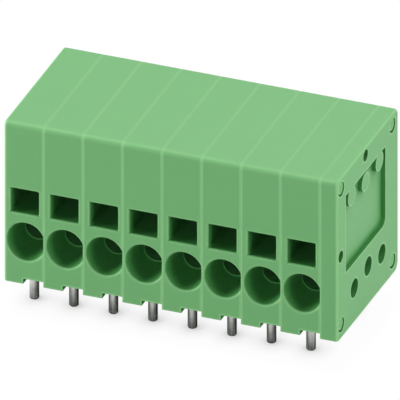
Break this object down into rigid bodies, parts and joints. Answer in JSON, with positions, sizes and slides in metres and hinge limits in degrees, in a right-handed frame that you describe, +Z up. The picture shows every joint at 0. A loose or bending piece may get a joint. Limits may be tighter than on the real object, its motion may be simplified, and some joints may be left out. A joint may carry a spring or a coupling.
{
  "type": "pcb terminal block",
  "caption": "Moulded row of spring-clamp wire terminals with front conductor funnels, blade release slots, an end cover and round solder pins for a circuit board.",
  "frame": {"origin": "centre of the solder-pin pattern, on the seat plane of the feet (the board's top face)", "axes": "+X along the row towards the end cover, -Y out of the wire face, +Z up away from the board"},
  "size_m": [0.0423, 0.02, 0.0252],
  "materials": {
    "housing": "moulded green polyamide, satin",
    "tin": "tin-plated copper alloy",
    "spring": "bright stainless spring strip"
  },
  "bodies": {
    "root": {"pole_housing_1": "housing", "pole_housing_2": "housing", "pole_housing_3": "housing", "pole_housing_4": "housing", "pole_housing_5": "housing", "pole_housing_6": "housing", "pole_housing_7": "housing", "pole_housing_8": "housing", "end_cover": "housing", "current_bar_1": "tin", "current_bar_2": "tin", "current_bar_3": "tin", "current_bar_4": "tin", "current_bar_5": "tin", "current_bar_6": "tin", "current_bar_7": "tin", "current_bar_8": "tin", "front_pin_1": "tin", "front_pin_2": "tin", "front_pin_3": "tin", "front_pin_4": "tin", "front_pin_5": "tin", "front_pin_6": "tin", "front_pin_7": "tin", "front_pin_8": "tin", "rear_pin_1": "tin", "rear_pin_2": "tin", "rear_pin_3": "tin", "rear_pin_4": "tin", "rear_pin_5": "tin", "rear_pin_6": "tin", "rear_pin_7": "tin", "rear_pin_8": "tin", "clamp_spring_1": "spring", "clamp_spring_2": "spring", "clamp_spring_3": "spring", "clamp_spring_4": "spring", "clamp_spring_5": "spring", "clamp_spring_6": "spring", "clamp_spring_7": "spring", "clamp_spring_8": "spring"}
  },
  "joints": []
}
